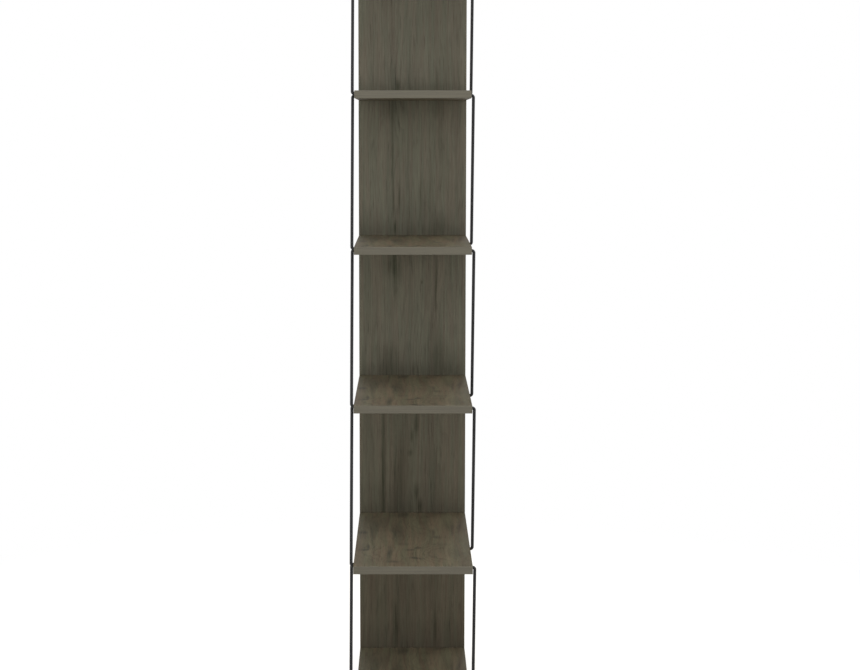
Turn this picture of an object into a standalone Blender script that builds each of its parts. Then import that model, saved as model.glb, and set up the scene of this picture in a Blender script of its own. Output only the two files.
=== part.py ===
# A tall, narrow, open bookcase.
# Six boards get deeper towards the floor, a back panel stands in each bay, and a bent steel rod
# ties each pair of boards together at either side. Cam locks, bolts and dowels join boards and panels.
# The front faces -Y, and the origin is on the floor under the middle of the bottom board.

import math

import bmesh
import bpy
from mathutils import Matrix, Vector

# Driving dimensions, in metres
BAY_COUNT = 5
BAY_HEIGHT = 0.301
BOARD_WIDTH = 0.240
BOARD_THICKNESS = 0.016
TOP_BOARD_DEPTH = 0.256
BOARD_DEPTH_GROWTH = 0.055
PANEL_THICKNESS = 0.016
EDGING_THICKNESS = 0.001
EDGE_EASING = 0.0004

# Bent rods
ROD_DIAMETER = 0.0064
ROD_SIDE_GAP = 0.002
ROD_FRONT_SETBACK = 0.030
ROD_SLANT = 0.078
ROD_LEG_INSET = 0.0065
ROD_LEG_DEPTH = 0.020

# Cam locks and their bolts
CAM_RADIUS = 0.0075
CAM_FRONT_WALL = 0.0035
CAM_EDGE_DISTANCE = 0.034
CAM_SLOT_LENGTH = 0.009
CAM_SLOT_WIDTH = 0.0018
CAM_SLOT_DEPTH = 0.002
BOLT_RADIUS = 0.003
BOLT_NECK_RADIUS = 0.002
BOLT_NECK_LENGTH = 0.004
BOLT_HEAD_LENGTH = 0.003
BOLT_SEAT_DEPTH = 0.010

# Wooden dowels
DOWEL_RADIUS = 0.004
DOWEL_SIDE_DISTANCE = 0.040
DOWEL_PANEL_DEPTH = 0.012
DOWEL_SEAT_DEPTH = 0.010
DOWEL_CHAMFER = 0.0008

# Push-in floor glides
GLIDE_RADIUS = 0.011
GLIDE_HEIGHT = 0.004
GLIDE_CHAMFER = 0.001
GLIDE_SPIGOT_RADIUS = 0.0025
GLIDE_SPIGOT_LENGTH = 0.009
GLIDE_SIDE_DISTANCE = 0.030
GLIDE_END_DISTANCE = 0.030

# Clearances
FIT_GAP = 0.0003
CUT_OVERRUN = 0.002
MERGE_DISTANCE = 0.00001

# Facets and colours
ROD_BEVEL_RESOLUTION = 4
ROD_SIDES = 12
BEND_STEPS = 5
HOLE_SIDES = 12
CAM_SIDES = 16
BOLT_SIDES = 12
GLIDE_SIDES = 16
SHARP_ANGLE = math.radians(40)
WOOD_COLOUR = (0.097, 0.089, 0.067, 1)
EDGING_COLOUR = (0.156, 0.144, 0.114, 1)
ROD_COLOUR = (0.020, 0.020, 0.022, 1)
ZINC_COLOUR = (0.42, 0.42, 0.43, 1)
STEEL_COLOUR = (0.50, 0.50, 0.52, 1)
BEECH_COLOUR = (0.52, 0.36, 0.20, 1)
GLIDE_COLOUR = (0.03, 0.03, 0.03, 1)

# Places that follow from the sizes above
edging_allowance = EDGING_THICKNESS + FIT_GAP
side_x = BOARD_WIDTH / 2
level_pitch = BAY_HEIGHT + BOARD_THICKNESS
bottom_board_z = GLIDE_HEIGHT + FIT_GAP
bottom_board_depth = TOP_BOARD_DEPTH + BAY_COUNT * BOARD_DEPTH_GROWTH
rear_y = bottom_board_depth / 2
joint_y = rear_y - PANEL_THICKNESS / 2
cam_depth = PANEL_THICKNESS - CAM_FRONT_WALL
dowel_x = side_x - DOWEL_SIDE_DISTANCE
panel_height = BAY_HEIGHT - 2 * FIT_GAP
cam_height = panel_height / 2 - CAM_EDGE_DISTANCE
rod_radius = ROD_DIAMETER / 2
rod_offset = ROD_SIDE_GAP + rod_radius

X_AXIS = Vector((1, 0, 0))
Y_AXIS = Vector((0, 1, 0))
Z_AXIS = Vector((0, 0, 1))
SIDES = {"left": -1, "right": 1}


def board_depth(level):
    """Depth of a board, counted from the top, from its rear edge to its front edging."""
    return TOP_BOARD_DEPTH + level * BOARD_DEPTH_GROWTH


def board_front(level):
    return rear_y - board_depth(level)


def board_underside(level):
    return bottom_board_z + (BAY_COUNT - level) * level_pitch


def board_top(level):
    return board_underside(level) + BOARD_THICKNESS


def level_name(level):
    """The last word of the names of what belongs to a board."""
    if level == 0:
        return "top"
    if level == BAY_COUNT:
        return "bottom"
    return str(level)


def board_name(level):
    if level in (0, BAY_COUNT):
        return level_name(level) + "_board"
    return "shelf_" + level_name(level)


def remove_all_objects():
    for obj in list(bpy.data.objects):
        bpy.data.objects.remove(obj, do_unlink=True)


def new_collection(name):
    made = bpy.data.collections.new(name)
    bpy.context.scene.collection.children.link(made)
    return made


def new_material(name, colour, roughness, metallic):
    material = bpy.data.materials.new(name)
    material.use_nodes = True
    shader = material.node_tree.nodes["Principled BSDF"]
    shader.inputs["Base Color"].default_value = colour
    shader.inputs["Roughness"].default_value = roughness
    shader.inputs["Metallic"].default_value = metallic
    material.diffuse_color = colour
    return material


remove_all_objects()
parts = new_collection("bookcase")
cutters = new_collection("cutters")
floor_centre = bpy.data.objects.new("floor_centre", None)
parts.objects.link(floor_centre)

decor = new_material("wood_decor_board", WOOD_COLOUR, 0.55, 0.0)
panel_decor = new_material("wood_decor_panel", WOOD_COLOUR, 0.55, 0.0)
front_edging = new_material("plain_edging", EDGING_COLOUR, 0.5, 0.0)
black_steel = new_material("black_powder_coat", ROD_COLOUR, 0.45, 0.0)
zinc = new_material("cast_zinc", ZINC_COLOUR, 0.4, 1.0)
steel = new_material("zinc_plated_steel", STEEL_COLOUR, 0.3, 1.0)
beech = new_material("beech", BEECH_COLOUR, 0.6, 0.0)
glide_plastic = new_material("black_polyethylene", GLIDE_COLOUR, 0.5, 0.0)


def place_part(obj, material):
    """Puts a finished object in the collection of parts, under the empty on the floor."""
    for owner in list(obj.users_collection):
        owner.objects.unlink(obj)
    parts.objects.link(obj)
    obj.parent = floor_centre
    obj.data.materials.clear()
    obj.data.materials.append(material)
    return obj


def new_part(name, mesh, location, material):
    obj = bpy.data.objects.new(name, mesh)
    obj.location = location
    return place_part(obj, material)


def add_box(name, size, centre, material):
    bpy.ops.mesh.primitive_cube_add(size=1, location=centre)
    obj = bpy.context.object
    obj.name = name
    obj.data.name = name
    obj.scale = size
    bpy.ops.object.transform_apply(location=False, rotation=False, scale=True)
    return place_part(obj, material)


def add_turned_mesh(name, profile, steps):
    """The round mesh that a profile of (radius, height) points, from top to bottom, makes when turned."""
    mesh = bpy.data.meshes.new(name)
    points = [(radius, 0, height) for radius, height in profile]
    edges = [(i, i + 1) for i in range(len(points) - 1)]
    mesh.from_pydata(points, edges, [])
    holder = bpy.data.objects.new(name + "_profile", mesh)
    bpy.context.scene.collection.objects.link(holder)
    screw = holder.modifiers.new("turn", "SCREW")
    screw.steps = steps
    screw.render_steps = steps
    screw.use_merge_vertices = True
    screw.merge_threshold = MERGE_DISTANCE
    screw.use_smooth_shade = True
    return made_real(holder, name)


def made_real(holder, name):
    """The evaluated mesh of a working object, which is then removed."""
    bpy.context.view_layer.update()
    evaluated = holder.evaluated_get(bpy.context.evaluated_depsgraph_get())
    mesh = bpy.data.meshes.new_from_object(evaluated)
    mesh.name = name
    source = holder.data
    bpy.data.objects.remove(holder, do_unlink=True)
    if source.users == 0:
        bpy.data.meshes.remove(source)
    return mesh


def shade(mesh):
    mesh.shade_smooth()
    mesh.set_sharp_from_angle(angle=SHARP_ANGLE)


def turned_to(direction):
    """Rotation that lays a cylinder's own axis along a direction."""
    return direction.to_track_quat("Z", "Y").to_matrix().to_4x4()


def hole(mouth, direction, radius, depth, sides=HOLE_SIDES):
    """A drilled hole: its flats clear the radius by the fit gap, and it starts outside the mouth."""
    centre = Vector(mouth) + direction * (depth - CUT_OVERRUN) / 2
    return {
        "matrix": Matrix.Translation(centre) @ turned_to(direction),
        "radius": (radius + FIT_GAP) / math.cos(math.pi / sides),
        "length": depth + CUT_OVERRUN,
        "sides": sides,
    }


def new_cutter(name, holes):
    shape = bmesh.new()
    for item in holes:
        bmesh.ops.create_cone(
            shape,
            cap_ends=True,
            segments=item["sides"],
            radius1=item["radius"],
            radius2=item["radius"],
            depth=item["length"],
            matrix=item["matrix"],
        )
    mesh = bpy.data.meshes.new(name)
    shape.to_mesh(mesh)
    shape.free()
    return hide_cutter(bpy.data.objects.new(name, mesh))


def hide_cutter(obj):
    for owner in list(obj.users_collection):
        owner.objects.unlink(obj)
    cutters.objects.link(obj)
    obj.hide_render = True
    obj.display_type = "WIRE"
    return obj


def cut(obj, cutter):
    boolean = obj.modifiers.new("cut_" + cutter.name, "BOOLEAN")
    boolean.operation = "DIFFERENCE"
    boolean.solver = "EXACT"
    boolean.object = cutter


# Rod legs: where the two bent-in ends of each rod enter the boards
def rod_leg_y(side, bay):
    """Y of the upper and of the lower leg. A right rod is a left one turned end for end."""
    if side < 0:
        lower = board_front(bay + 1) + ROD_FRONT_SETBACK
        return lower + ROD_SLANT, lower
    upper = board_front(bay) + ROD_FRONT_SETBACK
    return upper, upper + ROD_SLANT


def rod_leg_points(side, bay):
    """Where the upper and the lower leg cross the boards' side faces."""
    upper_y, lower_y = rod_leg_y(side, bay)
    upper = Vector((side * side_x, upper_y, board_underside(bay) + ROD_LEG_INSET))
    lower = Vector((side * side_x, lower_y, board_top(bay + 1) - ROD_LEG_INSET))
    return upper, lower


def rod_holes(level):
    """Holes in one board's sides for the rods of the bay below it and of the bay above it."""
    mouths = []
    for side in SIDES.values():
        if level < BAY_COUNT:
            mouths.append((side, rod_leg_points(side, level)[0]))
        if level > 0:
            mouths.append((side, rod_leg_points(side, level - 1)[1]))
    depth = ROD_LEG_DEPTH + FIT_GAP
    return [hole(mouth, -side * X_AXIS, rod_radius, depth, ROD_SIDES) for side, mouth in mouths]


def joint_holes(level):
    """Holes for the bolt and the dowels: through a shelf, blind in the top and the bottom board."""
    holes = []
    for x, radius, seat in (
        (0, BOLT_RADIUS, BOLT_SEAT_DEPTH),
        (-dowel_x, DOWEL_RADIUS, DOWEL_SEAT_DEPTH),
        (dowel_x, DOWEL_RADIUS, DOWEL_SEAT_DEPTH),
    ):
        if level == 0:
            mouth = (x, joint_y, board_underside(level))
            holes.append(hole(mouth, Z_AXIS, radius, seat + FIT_GAP))
        elif level == BAY_COUNT:
            mouth = (x, joint_y, board_top(level))
            holes.append(hole(mouth, -Z_AXIS, radius, seat + FIT_GAP))
        else:
            mouth = (x, joint_y, board_top(level))
            holes.append(hole(mouth, -Z_AXIS, radius, BOARD_THICKNESS + CUT_OVERRUN))
    return holes


def glide_places():
    """Floor places of the four glides, by name."""
    front_y = board_front(BAY_COUNT) + GLIDE_END_DISTANCE
    back_y = rear_y - GLIDE_END_DISTANCE
    x = side_x - GLIDE_SIDE_DISTANCE
    return {
        f"glide_{end}_{side}": Vector((sign * x, y, 0))
        for end, y in (("front", front_y), ("rear", back_y))
        for side, sign in SIDES.items()
    }


def glide_holes():
    depth = GLIDE_SPIGOT_LENGTH
    lift = bottom_board_z * Z_AXIS
    return [hole(place + lift, Z_AXIS, GLIDE_SPIGOT_RADIUS, depth) for place in glide_places().values()]


# Boards, each with a plain strip of edging on its front
def add_board(level):
    core_depth = board_depth(level) - edging_allowance
    middle_z = board_underside(level) + BOARD_THICKNESS / 2
    centre = (0, rear_y - core_depth / 2, middle_z)
    board = add_box(board_name(level), (BOARD_WIDTH, core_depth, BOARD_THICKNESS), centre, decor)
    ease_edges(board)
    cut(board, new_cutter("rod_holes_" + level_name(level), rod_holes(level)))
    cut(board, new_cutter("joint_holes_" + level_name(level), joint_holes(level)))
    if level == BAY_COUNT:
        cut(board, new_cutter("glide_holes", glide_holes()))
    strip_centre = (0, board_front(level) + EDGING_THICKNESS / 2, middle_z)
    strip_size = (BOARD_WIDTH, EDGING_THICKNESS, BOARD_THICKNESS)
    strip = add_box("front_edge_" + level_name(level), strip_size, strip_centre, front_edging)
    ease_edges(strip)


def ease_edges(obj):
    easing = obj.modifiers.new("eased_edges", "BEVEL")
    easing.width = EDGE_EASING
    easing.segments = 1


# Back panels, bored from both ends for bolt and dowels, and pocketed from behind for the cams
def add_panel(bay):
    centre = Vector((0, joint_y, board_top(bay + 1) + BAY_HEIGHT / 2))
    panel = add_box(f"back_panel_{bay + 1}", (BOARD_WIDTH, PANEL_THICKNESS, panel_height), centre, panel_decor)
    ease_edges(panel)
    cut(panel, new_cutter(f"cam_pockets_{bay + 1}", cam_pockets(centre)))
    cut(panel, new_cutter(f"end_bores_{bay + 1}", end_bores(centre)))


def cam_pockets(centre):
    holes = []
    for end in (-1, 1):
        mouth = centre + Vector((0, PANEL_THICKNESS / 2, end * cam_height))
        holes.append(hole(mouth, -Y_AXIS, CAM_RADIUS, cam_depth + FIT_GAP, CAM_SIDES))
    return holes


def end_bores(centre):
    holes = []
    for end in (-1, 1):
        mouth = centre + Vector((0, 0, end * panel_height / 2))
        holes.append(hole(mouth, -end * Z_AXIS, BOLT_RADIUS, CAM_EDGE_DISTANCE))
        for side in SIDES.values():
            dowel_mouth = mouth + side * dowel_x * X_AXIS
            holes.append(hole(dowel_mouth, -end * Z_AXIS, DOWEL_RADIUS, DOWEL_PANEL_DEPTH))
    return holes


# Cam locks: a zinc disc with a bore for the bolt's head and a crossed slot for the screwdriver
def make_cam_mesh():
    bpy.ops.mesh.primitive_cylinder_add(
        vertices=CAM_SIDES,
        radius=CAM_RADIUS,
        depth=cam_depth,
        location=(0, 0, 0),
        rotation=(math.pi / 2, 0, 0),
    )
    disc = bpy.context.object
    bpy.ops.object.transform_apply(location=False, rotation=True, scale=False)
    bolt_line_y = (cam_depth - PANEL_THICKNESS) / 2
    bore_depth = CAM_RADIUS + BOLT_HEAD_LENGTH / 2 + FIT_GAP
    rim = Vector((0, bolt_line_y, CAM_RADIUS))
    cut(disc, new_cutter("cam_bore", [hole(rim, -Z_AXIS, BOLT_RADIUS, bore_depth)]))
    slot_y = cam_depth / 2
    for name, length, height in (("slot_across", CAM_SLOT_LENGTH, CAM_SLOT_WIDTH),
                                 ("slot_upright", CAM_SLOT_WIDTH, CAM_SLOT_LENGTH)):
        bpy.ops.mesh.primitive_cube_add(size=1, location=(0, slot_y, 0))
        slot = bpy.context.object
        slot.name = name
        slot.scale = (length, 2 * CAM_SLOT_DEPTH, height)
        bpy.ops.object.transform_apply(location=False, rotation=False, scale=True)
        cut(disc, hide_cutter(slot))
    return made_real(disc, "cam_lock")


def add_cams(bay, mesh):
    middle_z = board_top(bay + 1) + BAY_HEIGHT / 2
    for name, end in (("lower", -1), ("upper", 1)):
        centre = (0, rear_y - cam_depth / 2, middle_z + end * cam_height)
        cam = new_part(f"cam_{name}_{bay + 1}", mesh, centre, zinc)
        if end < 0:
            cam.rotation_euler.y = math.pi


# Cam bolts: a neck and a head at each end that a cam grips, and a plain end in a blind seat
def cam_end(top_z):
    """Profile of a gripped end, from its head down to where the plain shank starts."""
    head_z = top_z - BOLT_HEAD_LENGTH
    neck_z = head_z - BOLT_NECK_LENGTH
    return [(0, top_z), (BOLT_RADIUS, top_z), (BOLT_RADIUS, head_z), (BOLT_NECK_RADIUS, head_z),
            (BOLT_NECK_RADIUS, neck_z), (BOLT_RADIUS, neck_z)]


def upside_down(profile):
    return [(radius, -height) for radius, height in reversed(profile)]


def bolt_profile(level):
    """A board's bolt, with heights from the middle of the board."""
    reach = BOARD_THICKNESS / 2 + FIT_GAP + CAM_EDGE_DISTANCE + BOLT_HEAD_LENGTH / 2
    seat = BOARD_THICKNESS / 2 - BOLT_SEAT_DEPTH
    plain_end = [(0, -seat), (BOLT_RADIUS, -seat)]
    if level == 0:
        return plain_end + upside_down(cam_end(reach))
    if level == BAY_COUNT:
        return cam_end(reach) + upside_down(plain_end)
    return cam_end(reach) + upside_down(cam_end(reach))


def add_bolt(level):
    name = "cam_bolt_" + level_name(level)
    mesh = add_turned_mesh(name, bolt_profile(level), BOLT_SIDES)
    shade(mesh)
    new_part(name, mesh, (0, joint_y, board_underside(level) + BOARD_THICKNESS / 2), steel)


# Dowels: through a shelf into both panels, or blind in the top and the bottom board
def dowel_ends(level):
    """Lower and upper end of a board's dowels, from the middle of the board."""
    reach = BOARD_THICKNESS / 2 + DOWEL_PANEL_DEPTH
    seat = DOWEL_SEAT_DEPTH - BOARD_THICKNESS / 2
    if level == 0:
        return -reach, seat
    if level == BAY_COUNT:
        return -seat, reach
    return -reach, reach


def add_dowels(level):
    lower, upper = dowel_ends(level)
    middle_z = board_underside(level) + BOARD_THICKNESS / 2 + (lower + upper) / 2
    for side_name, side in SIDES.items():
        bpy.ops.mesh.primitive_cylinder_add(
            vertices=HOLE_SIDES,
            radius=DOWEL_RADIUS,
            depth=upper - lower,
            location=(side * dowel_x, joint_y, middle_z),
        )
        dowel = bpy.context.object
        dowel.name = f"dowel_{side_name}_{level_name(level)}"
        dowel.data.name = dowel.name
        shade(dowel.data)
        place_part(dowel, beech)
        chamfer = dowel.modifiers.new("chamfer", "BEVEL")
        chamfer.width = DOWEL_CHAMFER
        chamfer.segments = 1
        chamfer.limit_method = "ANGLE"
        chamfer.angle_limit = SHARP_ANGLE


# Bent rods: a slanted run with a quarter bend at each end, and legs that sit in the boards' sides
def rod_path(side, bay):
    upper, lower = rod_leg_points(side, bay)
    along = (upper - lower).normalized()
    outward = side * X_AXIS
    leg = -outward * ROD_LEG_DEPTH
    turns = [math.pi / 2 * step / BEND_STEPS for step in range(BEND_STEPS + 1)]
    lower_centre = lower + along * rod_offset
    upper_centre = upper - along * rod_offset
    points = [lower + leg]
    points += [lower_centre + rod_offset * (outward * math.sin(a) - along * math.cos(a)) for a in turns]
    points += [upper_centre + rod_offset * (outward * math.cos(a) + along * math.sin(a)) for a in turns]
    points.append(upper + leg)
    return points


def add_rod(side_name, bay):
    name = f"rod_{side_name}_{bay + 1}"
    points = rod_path(SIDES[side_name], bay)
    middle = sum(points, Vector()) / len(points)
    curve = bpy.data.curves.new(name, "CURVE")
    curve.dimensions = "3D"
    curve.bevel_depth = rod_radius
    curve.bevel_resolution = ROD_BEVEL_RESOLUTION
    curve.use_fill_caps = True
    spline = curve.splines.new("POLY")
    spline.points.add(len(points) - 1)
    for target, point in zip(spline.points, points):
        target.co = (*(point - middle), 1)
    spline.use_smooth = True
    new_part(name, curve, middle, black_steel)


# Floor glides: a flat foot with a spigot that is pushed into the bottom board
def make_glide_mesh():
    tip = GLIDE_HEIGHT + GLIDE_SPIGOT_LENGTH
    profile = [
        (0, tip),
        (GLIDE_SPIGOT_RADIUS, tip),
        (GLIDE_SPIGOT_RADIUS, GLIDE_HEIGHT),
        (GLIDE_RADIUS, GLIDE_HEIGHT),
        (GLIDE_RADIUS, GLIDE_CHAMFER),
        (GLIDE_RADIUS - GLIDE_CHAMFER, 0),
        (0, 0),
    ]
    mesh = add_turned_mesh("floor_glide", profile, GLIDE_SIDES)
    shade(mesh)
    return mesh


for level in range(BAY_COUNT + 1):
    add_board(level)
    add_bolt(level)
    add_dowels(level)

cam_mesh = make_cam_mesh()
for bay in range(BAY_COUNT):
    add_panel(bay)
    add_cams(bay, cam_mesh)
    for side_name in SIDES:
        add_rod(side_name, bay)

glide_mesh = make_glide_mesh()
for glide_name, place in glide_places().items():
    new_part(glide_name, glide_mesh, place, glide_plastic)
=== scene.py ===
# A tall, narrow bookcase of grey-brown wood-decor boards between bent black rods.
# Lengths are in metres unless a name ends in _mm. The front faces -Y and +Z is up.
import math

import bmesh
import bpy
from mathutils import Matrix, Vector


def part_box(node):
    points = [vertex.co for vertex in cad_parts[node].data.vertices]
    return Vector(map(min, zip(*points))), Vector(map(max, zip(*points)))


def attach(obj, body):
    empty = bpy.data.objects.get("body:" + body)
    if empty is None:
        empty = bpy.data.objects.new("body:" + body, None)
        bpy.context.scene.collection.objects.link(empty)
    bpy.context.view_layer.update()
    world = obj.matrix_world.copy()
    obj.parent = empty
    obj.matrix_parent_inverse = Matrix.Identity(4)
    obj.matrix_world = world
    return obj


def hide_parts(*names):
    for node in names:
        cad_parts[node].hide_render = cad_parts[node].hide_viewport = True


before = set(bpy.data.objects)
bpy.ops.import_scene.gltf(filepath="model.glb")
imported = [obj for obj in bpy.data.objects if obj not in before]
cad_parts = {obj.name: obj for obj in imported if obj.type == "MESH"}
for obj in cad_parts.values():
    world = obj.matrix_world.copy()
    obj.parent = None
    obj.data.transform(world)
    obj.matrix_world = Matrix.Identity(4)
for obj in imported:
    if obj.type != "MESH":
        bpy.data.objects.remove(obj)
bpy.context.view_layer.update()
body = "root"
bpy.ops.object.select_all(action="DESELECT")

# The photographer's view: a long lens 1.22 m up, just below shelf_1, and tilted down a little.
# Its place comes from the edges of the boards and rods in the photograph, and the small shift
# frames the bookcase as the photograph does.
lens_mm = 68.86
sensor_mm = 36
camera_place = (-0.0106, -3.4344, 1.2210)
camera_tilt = 0.10289  # radians below level
camera_shift = (0.0259, -0.0485)

bpy.ops.object.camera_add(location=camera_place, rotation=(math.pi / 2 - camera_tilt, 0, 0))
camera = bpy.context.object
camera.name = "photographer"
camera.data.lens = lens_mm
camera.data.sensor_width = sensor_mm
camera.data.shift_x, camera.data.shift_y = camera_shift
bpy.context.scene.camera = camera
bpy.context.scene.view_settings.view_transform = "Standard"


# The studio: a white sweep that the camera sees as plain white, and a pale floor that keeps
# the soft shadow of the bookcase. The room lights it softly from all round, and softboxes
# hang overhead and over the floor and stand in front, at both sides and behind.
plain_white = (1, 1, 1, 1)
room_light = 0.60
room_colour = "#fdfdff"
floor_colour = "#bab6ad"
floor_size = 14.0
floor_gap = 0.0002  # between the floor and the soles of the glides
floor_glow = 0.76
shadow_reach = 1.6  # where the floor has faded to plain white


def colour(hex_code):
    """Linear RGBA of an sRGB colour written as #rrggbb."""
    channels = [int(hex_code[i:i + 2], 16) / 255 for i in (1, 3, 5)]
    return (*(c / 12.92 if c <= 0.04045 else ((c + 0.055) / 1.055) ** 2.4 for c in channels), 1)


def add_node(tree, kind, sockets=None, **settings):
    """Adds a shader node. A socket's value is a number, a colour or the output that feeds it."""
    made = tree.nodes.new("ShaderNode" + kind)
    for name, value in settings.items():
        setattr(made, name, value)
    for name, value in (sockets or {}).items():
        if isinstance(value, bpy.types.NodeSocket):
            tree.links.new(value, made.inputs[name])
        else:
            made.inputs[name].default_value = value
    return made


def start_material(name):
    """An empty node material, ready for its shader."""
    material = bpy.data.materials.new(name)
    material.use_nodes = True
    material.node_tree.nodes.clear()
    return material


def seen_directly(tree):
    """1 for the camera's own rays and for those in a reflection or through glass, and 0 for light."""
    rays = add_node(tree, "LightPath")
    seen = add_node(tree, "Math", {0: rays.outputs["Is Camera Ray"], 1: rays.outputs["Is Glossy Ray"]},
                    operation="MAXIMUM")
    seen = add_node(tree, "Math", {0: seen.outputs[0], 1: rays.outputs["Is Transmission Ray"]},
                    operation="MAXIMUM")
    return seen.outputs[0]


world = bpy.data.worlds.new("white_studio")
bpy.context.scene.world = world
world.use_nodes = True
tree = world.node_tree
tree.nodes.clear()
seen = seen_directly(tree)
room = add_node(tree, "Background", {"Color": colour(room_colour), "Strength": room_light})
backdrop = add_node(tree, "Background", {"Color": plain_white, "Strength": 1.0})
shown = add_node(tree, "MixShader", {0: seen, 1: room.outputs[0], 2: backdrop.outputs[0]})
add_node(tree, "OutputWorld", {"Surface": shown.outputs[0]})

# White paper: matt. The camera sees it glow to near white, so only the shadow shows
bpy.ops.mesh.primitive_plane_add(size=floor_size, location=(0, 0, -floor_gap))
floor = bpy.context.object
floor.name = "studio_floor"
paper = start_material("white_paper_floor")
tree = paper.node_tree
seen = seen_directly(tree)
place = add_node(tree, "TexCoord")
distance = add_node(tree, "VectorMath", {0: place.outputs["Object"]}, operation="LENGTH")
far = add_node(tree, "MapRange", {"Value": distance.outputs["Value"], "From Min": shadow_reach / 2,
                                  "From Max": shadow_reach}, interpolation_type="SMOOTHSTEP")
lit = add_node(tree, "BsdfDiffuse", {"Color": colour(floor_colour)})
glow = add_node(tree, "Emission", {"Color": plain_white, "Strength": floor_glow})
near_floor = add_node(tree, "AddShader", {0: lit.outputs[0], 1: glow.outputs[0]})
white = add_node(tree, "Emission", {"Color": plain_white, "Strength": 1.0})
shown = add_node(tree, "MixShader", {0: far.outputs[0], 1: near_floor.outputs[0], 2: white.outputs[0]})
whole = add_node(tree, "MixShader", {0: seen, 1: lit.outputs[0], 2: shown.outputs[0]})
add_node(tree, "OutputMaterial", {"Surface": whole.outputs[0]})
floor.data.materials.append(paper)


def add_softbox(name, place, aim, size, watts):
    """A square white area light that looks from its place to its aim."""
    bpy.ops.object.light_add(type="AREA", location=place)
    light = bpy.context.object
    light.name = name
    light.data.shape = "SQUARE"
    light.data.size = size
    light.data.energy = watts
    light.rotation_euler = (Vector(aim) - Vector(place)).to_track_quat("-Z", "Y").to_euler()
    return light.data


lights_aim = (0, 0, 1.0)
add_softbox("softbox_overhead", (0, -1.6, 3.6), lights_aim, size=1.4, watts=18)
add_softbox("softbox_front", (0, -2.2, 1.9), lights_aim, size=0.8, watts=3)
floor_lamp = add_softbox("softbox_over_floor", (0, -2.1, 2.2), (0, -2.1, 0), size=1.4, watts=8)
floor_lamp.spread = math.radians(80)
for side_name, side in (("left", -1), ("right", 1)):
    add_softbox("softbox_" + side_name, (side * 2.6, -0.6, 1.6), lights_aim, size=1.4, watts=20)
    add_softbox("softbox_rear_" + side_name, (side * 2.2, 2.0, 1.7), lights_aim, size=1.4, watts=6)


# Boards and back panels: 16 mm chipboard faced with printed melamine, a grey-brown oak with
# straight fine grain, growth lines round a few eyes and smoky smears, pressed to a matt feel.
# Every outer edge is banded in the same decor; only bores leave the raw chipboard open.
bays = (1, 2, 3, 4, 5)
board_names = ("bottom_board", "shelf_4", "shelf_3", "shelf_2", "shelf_1", "top_board")
side_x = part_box("shelf_1")[1].x
rear_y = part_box("shelf_1")[1].y
lowest_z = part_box("bottom_board")[0].z
board_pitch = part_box("shelf_4")[0].z - lowest_z
board_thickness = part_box("shelf_1")[1].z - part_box("shelf_1")[0].z
panel_front_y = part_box("back_panel_1")[0].y
foil = 0.0003  # thickness of the printed skin
room_below = 0.001  # the print starts again this far below each board
# Painted shade at the foot of each panel's front: how high it reaches and how much darker its lowest line
# is
shaded_height = 0.075
foot_shade = 0.18
tint_from_z, tint_to_z = 0.15, 0.75


def per_size(*sizes_mm):
    """The scale of a Mapping node that makes one noise cell this many millimetres long on each axis."""
    return tuple(1000 / size for size in sizes_mm)


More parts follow.
